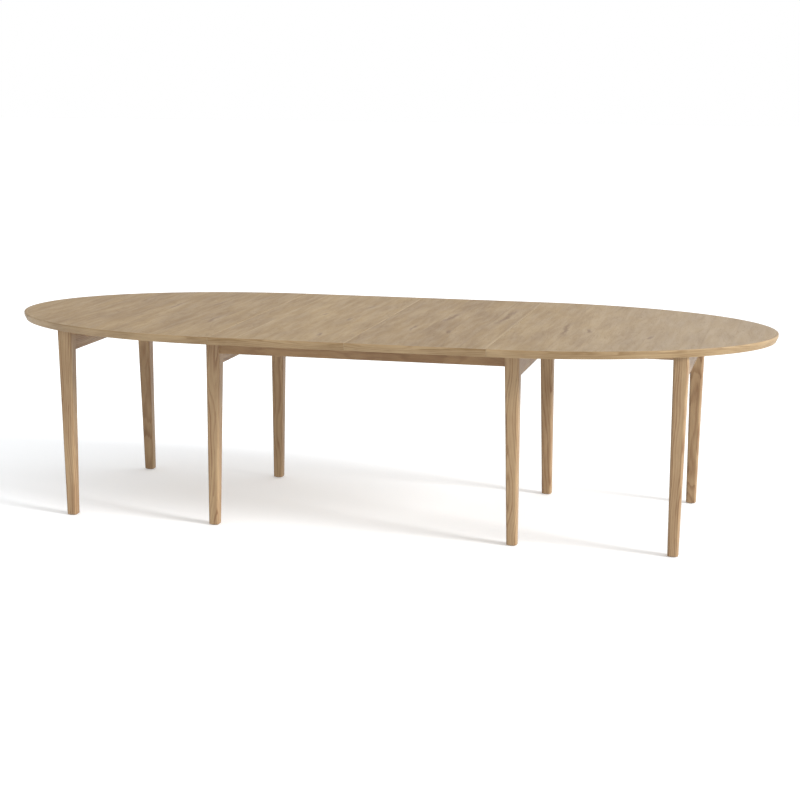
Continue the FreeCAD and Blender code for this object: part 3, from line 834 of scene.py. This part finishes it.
STAVES = stave_oak()
RIM_OAK = noted_oak("oak lipping", OAK_RIM)
FRAME_OAK = noted_oak("oak frame", OAK_FRAME)
# Painted shade: the side rails' oak is darker to stand in for the shadow under the top.
SHADED_RAIL_OAK = noted_oak("oak with painted shade", OAK_SHADED_RAIL)
BEECH_X = plain_timber("beech along the table", BEECH, (0, 90, 0))
PINE_X = plain_timber("pine along the table", PINE, (0, 90, 0))
PINE_Y = plain_timber("pine across the table", PINE, (90, 0, 0))
STEEL = plated_steel()
NYLON = glide_nylon()


# ---------------------------------------------------------------- the top

# A lipping's grain: how far its heart lies outside and above the rim, and where along the tree
# each piece starts.
RIM_HEART_OUT = 0.03
RIM_HEART_UP = 0.004
END_GRAIN_START = 3.1
LEAF_GRAIN_START = {"left": 1.7, "right": 5.3}


def rim_section():
    """The lipping's section, once round: how far in from the rim and how high each corner is."""
    upright_top = TOP_FACE - RIM_ROUNDING
    section = [
        (LIPPING, UNDERSIDE),
        (RIM_TUCK, UNDERSIDE),
        (0.0, UNDERSIDE + RIM_BEVEL_RISE),
        (0.0, upright_top),
    ]
    for step in range(1, RIM_ROUNDING_STEPS + 1):
        angle = math.pi / 2 * step / RIM_ROUNDING_STEPS
        inset = RIM_ROUNDING * (1 - math.cos(angle))
        section.append((inset, upright_top + RIM_ROUNDING * math.sin(angle)))
    section += [(RIM_LEVEL_FROM, TOP_FACE), (LIPPING, TOP_FACE), (LIPPING, UNDERSIDE)]
    return section


def oval(name, side, inset, fill):
    """A flat oval about the middle of one end's seam, level with the underside of the top."""
    deselect()
    centre = (side * SEAM_X, 0, UNDERSIDE)
    bpy.ops.mesh.primitive_circle_add(
        vertices=RIM_POINTS, radius=1, fill_type=fill, location=centre
    )
    piece = settle(name)
    open_piece()
    pick_all()
    bpy.ops.transform.resize(
        value=(HALF_LENGTH - SEAM_X - inset, HALF_WIDTH - inset, 1), center_override=centre
    )
    close_piece()
    return piece


def ease_seam(seam_x):
    """Break the sharp upper edge beside a seam."""
    pick(
        "EDGE",
        lambda middle, way: abs(middle.x - seam_x) < SEAM_DRAW * 2
        and middle.z > TOP_FACE - SEAM_DRAW
        and abs(way.y) > ALIGNED,
    )
    bpy.ops.mesh.bevel(offset=SEAM_ARRIS, segments=ARRIS_STEPS, affect="EDGES")


def end_at_seam(side):
    """Cut an open oval off at the seam, ease the edge left there and say where it is."""
    seam_x = side * (SEAM_X + SEAM_DRAW)
    turn_outwards()
    trim((seam_x, 0, 0), (side, 0, 0))
    ease_seam(seam_x)
    close_piece()
    return seam_x


def end_lipping(side_name, side):
    """A half oval of solid lipping: an oval drawn through the section, then cut at the seam."""
    section = rim_section()
    piece = oval(f"oak_{side_name}_end_lipping", side, section[0][0], "NOTHING")
    open_piece()
    pick_all()
    for (inset_from, z_from), (inset_to, z_to) in zip(section, section[1:]):
        draw_up(z_to - z_from)
        long_from, long_to = (HALF_LENGTH - SEAM_X - inset for inset in (inset_from, inset_to))
        wide_from, wide_to = (HALF_WIDTH - inset for inset in (inset_from, inset_to))
        bpy.ops.transform.resize(
            value=(long_to / long_from, wide_to / wide_from, 1),
            center_override=(side * SEAM_X, 0, 0),
        )
    pick_all()
    bpy.ops.mesh.remove_doubles(threshold=0.00005)
    end_at_seam(side)
    smooth_off(piece)
    note_rim_grain(piece, side)
    hand_over(piece, [f"{side_name}_end_lipping"], "oak_lipping", RIM_OAK, STAVES)
    top_strip(piece)


def top_strip(piece):
    """The staves run out over the lipping, so its level upper strip is the same wood."""
    for face in piece.data.polygons:
        if face.normal.z > LEVEL:
            face.material_index = 1


def distance_round():
    """How far it is round an end's rim, from its back corner to each of a row of bearings."""
    long_way = HALF_LENGTH - SEAM_X
    distances = [0.0]
    for step in range(RIM_BEARINGS):
        bearing = math.pi * (step + 0.5) / RIM_BEARINGS
        stride = math.hypot(long_way * math.cos(bearing), HALF_WIDTH * math.sin(bearing))
        distances.append(distances[-1] + stride * math.pi / RIM_BEARINGS)
    return distances


def note_rim_grain(piece, side):
    """Let the grain of an end's lipping follow the curve of the rim."""
    distances = distance_round()
    notes = piece.data.attributes.new("grain", "FLOAT_VECTOR", "POINT")
    for vertex, note in zip(piece.data.vertices, notes.data):
        out = (vertex.co.x * side - SEAM_X) / (HALF_LENGTH - SEAM_X)
        bearing = math.atan2(max(out, 0.0), vertex.co.y / HALF_WIDTH)
        place = bearing / math.pi * RIM_BEARINGS
        whole = min(int(place), RIM_BEARINGS - 1)
        before, after = distances[whole], distances[whole + 1]
        along = before + (after - before) * (place - whole)
        inset = 1 - math.hypot(out, vertex.co.y / HALF_WIDTH)
        note.vector = (
            vertex.co.z - TOP_FACE,
            RIM_HEART_OUT + inset,
            along + END_GRAIN_START * side,
        )


def sockets(piece, seam_x):
    """Dowel holes in an edge whose seam is on its right."""
    z = (UNDERSIDE + TOP_FACE) / 2
    for y in DOWEL_Y:
        bore(piece, (seam_x - SOCKET_DEPTH, y, z), (seam_x + CLEAR, y, z), SOCKET_RADIUS)


def end_top(side_name, side):
    piece = oval(f"oak_{side_name}_end_top", side, LIPPING, "NGON")
    open_piece()
    pick_all()
    draw_up(TOP_FACE - UNDERSIDE)
    seam_x = end_at_seam(side)
    if side == LEFT:
        sockets(piece, seam_x)
    smooth_off(piece)
    hand_over(piece, [f"{side_name}_end_top"], "oak_top", STAVES)


def leaf(side_name):
    low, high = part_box(f"{side_name}_leaf")
    piece = block(f"oak_{side_name}_leaf", low, high)
    open_piece()
    ease_seam(low.x)
    ease_seam(high.x)
    close_piece()
    sockets(piece, high.x)
    smooth_off(piece)
    hand_over(piece, [f"{side_name}_leaf"], "oak_top", STAVES)


def pick_outer_edge(outer, edge_z):
    """Pick a straight lipping's long outer edge at one height."""
    pick(
        "EDGE",
        lambda middle, way: abs(middle.y - outer) < SEAM_DRAW
        and abs(middle.z - edge_z) < SEAM_DRAW
        and abs(way.x) > ALIGNED,
    )


def leaf_lipping(side_name, face_name, face):
    """A straight lipping: tucked in below, upright above and rounded along its upper edge."""
    node = f"{side_name}_leaf_{face_name}_lipping"
    low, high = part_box(node)
    piece = block(f"oak_{node}", low, high)
    outer = face * HALF_WIDTH
    open_piece()
    saw((0, 0, UNDERSIDE + RIM_BEVEL_RISE), (0, 0, 1))
    pick_outer_edge(outer, UNDERSIDE)
    bpy.ops.transform.translate(value=(0, -face * RIM_TUCK, 0))
    pick_outer_edge(outer, TOP_FACE)
    bpy.ops.mesh.bevel(offset=RIM_ROUNDING, segments=RIM_ROUNDING_STEPS, affect="EDGES")
    saw((0, outer - face * RIM_LEVEL_FROM, 0), (0, 1, 0))
    ease_seam(low.x)
    ease_seam(high.x)
    turn_outwards()
    close_piece()
    smooth_off(piece)
    heart = (face * (HALF_WIDTH + RIM_HEART_OUT), TOP_FACE + RIM_HEART_UP)
    note_grain(piece, heart, 0, LEAF_GRAIN_START[side_name] * face)
    hand_over(piece, [node], "oak_lipping", RIM_OAK, STAVES)
    top_strip(piece)


# ---------------------------------------------------------------- legs and rails

# Where the heart of the tree lies in a leg or a rail and how far that changes from one to the
# next, and the length of tree between one piece and the next.
LEG_HEART_IN = 0.02
LEG_HEART_CHANGE = 0.045
LEG_HEART_TURN = 2.4
LEG_GRAIN_STEP = 2.7
RAIL_HEART_BELOW = 0.02
RAIL_HEART_CHANGE = 0.03
RAIL_GRAIN_STEP = 3.3
SIDE_RAIL_HEART_ACROSS = 0.05
SIDE_RAIL_HEART_UP = 0.01
SIDE_RAIL_GRAIN_STEP = 4.1


def leg(node, plumb_x, inward, face, seed):
    """A leg, square at the top, that tapers on two faces and has well rounded corners.  The face
    at plumb_x and the one away from the middle line stand upright."""
    low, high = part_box(node)
    outer_y = low.y if face == FRONT else high.y
    foot_x = plumb_x + inward * FOOT_WIDTH
    foot_y = outer_y - face * FOOT_WIDTH
    piece = block(
        f"oak_{node}",
        (min(plumb_x, foot_x), min(outer_y, foot_y), low.z),
        (max(plumb_x, foot_x), max(outer_y, foot_y), high.z),
    )
    widen = (high.x - low.x) / FOOT_WIDTH
    open_piece()
    pick("FACE", lambda middle, way: way.z > ALIGNED)
    bpy.ops.transform.resize(value=(widen, widen, 1), center_override=(plumb_x, outer_y, high.z))
    pick("EDGE", lambda middle, way: abs(way.z) > ALIGNED)
    bpy.ops.mesh.bevel(
        offset=LEG_CORNER, segments=LEG_CORNER_STEPS, affect="EDGES", clamp_overlap=False
    )
    close_piece()
    ease_arrises(piece, LEG_ARRIS, LEG_ARRIS_STEPS)
    change = LEG_HEART_CHANGE * math.sin(seed * LEG_HEART_TURN)
    heart = (plumb_x + inward * LEG_HEART_IN + change, outer_y + face * LEG_HEART_IN)
    note_grain(piece, heart, 2, seed * LEG_GRAIN_STEP)
    hand_over(piece, [node], "oak_frame", FRAME_OAK)


def notched_rail(node, seed, bores, runners=()):
    """A rail across the table, bored for its screws, with an open notch round each runner."""
    low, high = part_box(node)
    middle = (low.x + high.x) / 2
    reach = LEG_INNER_Y + LET_IN
    notches = [(near.y - NOTCH_PLAY, far.y + NOTCH_PLAY) for near, far in runners]
    floor_z = runners[0][0].z - NOTCH_PLAY if runners else high.z
    piece = block(
        f"oak_{node}",
        (middle - RAIL_THICKNESS / 2, -reach, low.z),
        (middle + RAIL_THICKNESS / 2, reach, floor_z),
    )
    open_piece()
    for near, far in notches:
        saw((0, near, 0), (0, 1, 0))
        saw((0, far, 0), (0, 1, 0))
    if notches:
        pick(
            "FACE",
            lambda place, way: way.z > ALIGNED
            and not any(near < place.y < far for near, far in notches),
        )
        draw_up(high.z - floor_z)
    close_piece()
    ease_arrises(piece, RAIL_ARRIS)
    for start, end in bores:
        bore(piece, start, end, SCREW_BORE_RADIUS)
    smooth_off(piece)
    heart = (middle + RAIL_HEART_CHANGE * math.cos(seed), low.z - RAIL_HEART_BELOW)
    note_grain(piece, heart, 1, seed * RAIL_GRAIN_STEP)
    hand_over(piece, [node], "oak_frame", FRAME_OAK)


def end_rail_bores(side_name):
    """Bores up into an end rail, each to just past the face of a screw's head."""
    low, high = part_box(f"{side_name}_end_rail")
    middle = (low.x + high.x) / 2
    head_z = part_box(f"{side_name}_end_screws")[0].z
    return [((middle, y, low.z - CLEAR), (middle, y, head_z + CLEAR)) for y in END_SCREW_Y]


def cross_rail_bores(side_name, side):
    """Bores into the outer face of a cross rail, one behind the end of each guide."""
    low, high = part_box(f"{side_name}_cross_rail")
    outer = (low.x + high.x) / 2 + side * RAIL_THICKNESS / 2
    bores = []
    for face_name in FACES:
        near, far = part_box(f"{face_name}_{side_name}_guide")
        runner_low, runner_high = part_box(f"{face_name}_{side_name}_runner")
        # The body of a guide is on the side away from its runner, and takes the screw.
        beyond = near.y + far.y > runner_low.y + runner_high.y
        y = far.y - GUIDE_WIDTH / 2 if beyond else near.y + GUIDE_WIDTH / 2
        z = (near.z + far.z) / 2
        bores.append(((outer + side * CLEAR, y, z), (outer - side * SCREW_BORE_DEPTH, y, z)))
    return bores


def side_rail(face_name, seed):
    """A long rail between the inner legs of one face, in an oak made darker as painted shade for
    the shadow the top casts on it.
    """
    node = f"{face_name}_side_rail"
    low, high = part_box(node)
    middle = (low.y + high.y) / 2
    reach = LEG_INNER_X + LET_IN
    piece = block(
        f"oak_{node}",
        (-reach, middle - SIDE_RAIL_THICKNESS / 2, low.z),
        (reach, middle + SIDE_RAIL_THICKNESS / 2, high.z),
    )
    ease_arrises(piece, RAIL_ARRIS)
    heart = (middle + SIDE_RAIL_HEART_ACROSS, low.z + SIDE_RAIL_HEART_UP)
    note_grain(piece, heart, 0, seed * SIDE_RAIL_GRAIN_STEP)
    hand_over(piece, [node], "oak_frame", SHADED_RAIL_OAK)


# ---------------------------------------------------------------- building


def build_wood():
    seed = 1
    for side_name, side in SIDES.items():
        end_top(side_name, side)
        end_lipping(side_name, side)
        leaf(side_name)
        cross_bores = cross_rail_bores(side_name, side)
        runners = [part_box(f"{face_name}_{side_name}_runner") for face_name in FACES]
        notched_rail(f"{side_name}_cross_rail", seed + 2, cross_bores, runners)
        notched_rail(f"{side_name}_end_rail", seed + 5, end_rail_bores(side_name))
        for face_name, face in FACES.items():
            leaf_lipping(side_name, face_name, face)
            inner = f"{face_name}_{side_name}_inner_leg"
            outer = f"{face_name}_{side_name}_outer_leg"
            inner_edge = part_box(inner)[1 if side == RIGHT else 0].x
            outer_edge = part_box(outer)[0 if side == RIGHT else 1].x
            leg(inner, inner_edge, -side, face, seed)
            leg(outer, outer_edge, side, face, seed + 1)
            seed += 2
    for face_name in FACES:
        side_rail(face_name, seed)
        seed += 1


def dress_cad_nodes():
    """Give the remaining nodes, which keep their own shapes, their finishes."""
    finishes = {
        "runner": BEECH_X,
        "guide": BEECH_X,
        "dowels": BEECH_X,
        "centre_bearer": PINE_Y,
        "corner_blocks": PINE_X,
        "battens": PINE_X,
        "screws": STEEL,
        "runner_stops": STEEL,
        "hook": STEEL,
        "plates": STEEL,
        "keepers": STEEL,
        "glides": NYLON,
    }
    for name, node in cad_nodes.items():
        for ending, material in finishes.items():
            if name.endswith(ending):
                node.data.materials.clear()
                node.data.materials.append(material)


build_wood()
dress_cad_nodes()


# ---------------------------------------------------------------- floor, light and camera

FLOOR_SIZE = 60
FLOOR_MIDDLE = (0, 10, 0)
FLOOR_DARK = (0.82, 0.84, 0.86, 1)
FLOOR_PALE = (0.84, 0.86, 0.88, 1)
FLOOR_GLOW = 0.26
BRIGHT_SIDE = (0.95, 0.3, 0.1)
WORLD_LOW = 0.45
WORLD_HIGH = 1.3
KEY_FROM = (1.0, -0.24, 0.43)
KEY_STRENGTH = 3.3
KEY_SPREAD = 16
EYE_AT = (1.6153, -6.2625, 1.702)
EYE_DOWN = math.radians(10.57)
EYE_TURN = 0.2436
EYE_ROLL = 0.0029
EYE_SENSOR = 36
EYE_LENS = 77.73
EYE_SHIFT = (-0.0025, -0.0224)


def studio_floor():
    deselect()
    bpy.ops.mesh.primitive_plane_add(size=FLOOR_SIZE, location=FLOOR_MIDDLE)
    floor = settle("studio_floor")
    material, bench, shader = new_material("pale floor")
    cloud = bench.noise(object_place(bench), 0.4, 2.0)
    colour = bench.tint(cloud, FLOOR_DARK, FLOOR_PALE)
    bench.feed(shader.inputs["Base Color"], colour)
    shader.inputs["Roughness"].default_value = 0.9
    shader.inputs["Specular IOR Level"].default_value = 0.1
    shader.inputs["Emission Color"].default_value = (1, 1, 1, 1)
    shader.inputs["Emission Strength"].default_value = FLOOR_GLOW
    floor.data.materials.append(material)


def studio_light():
    """White surroundings, brighter towards the right and the back, and a broad soft key from the
    right and a little in front."""
    world = bpy.data.worlds.new("studio")
    bpy.context.scene.world = world
    world.use_nodes = True
    bench = Bench(world.node_tree)
    background = world.node_tree.nodes["Background"]
    background.inputs["Color"].default_value = (1, 1, 1, 1)
    way = bench.place("ShaderNodeTexCoord").outputs["Generated"]
    lean = bench.vector_maths("DOT_PRODUCT", way, BRIGHT_SIDE)
    glow = bench.spread(lean, -1.0, 1.0, WORLD_LOW, WORLD_HIGH, smooth=False)
    seen = bench.place("ShaderNodeLightPath").outputs["Is Camera Ray"]
    bench.feed(background.inputs["Strength"], bench.maths("MAXIMUM", glow, seen))
    deselect()
    bpy.ops.object.light_add(type="SUN", location=(4, -1, 3))
    key = bpy.context.object
    key.name = "key"
    key.data.energy = KEY_STRENGTH
    key.data.angle = math.radians(KEY_SPREAD)
    key.rotation_mode = "QUATERNION"
    key.rotation_quaternion = Vector(KEY_FROM).to_track_quat("Z", "Y")


def camera():
    deselect()
    bpy.ops.object.camera_add(location=EYE_AT)
    eye = bpy.context.object
    eye.name = "camera"
    eye.rotation_mode = "XYZ"
    turned = Matrix.Rotation(EYE_TURN, 3, "Z")
    lowered = Matrix.Rotation(math.radians(90) - EYE_DOWN, 3, "X")
    rolled = Matrix.Rotation(EYE_ROLL, 3, "Z")
    eye.rotation_euler = (turned @ lowered @ rolled).to_euler("XYZ")
    eye.data.sensor_width = EYE_SENSOR
    eye.data.lens = EYE_LENS
    eye.data.shift_x, eye.data.shift_y = EYE_SHIFT
    bpy.context.scene.camera = eye


studio_floor()
studio_light()
camera()
bpy.context.scene.view_settings.view_transform = "Standard"
deselect()
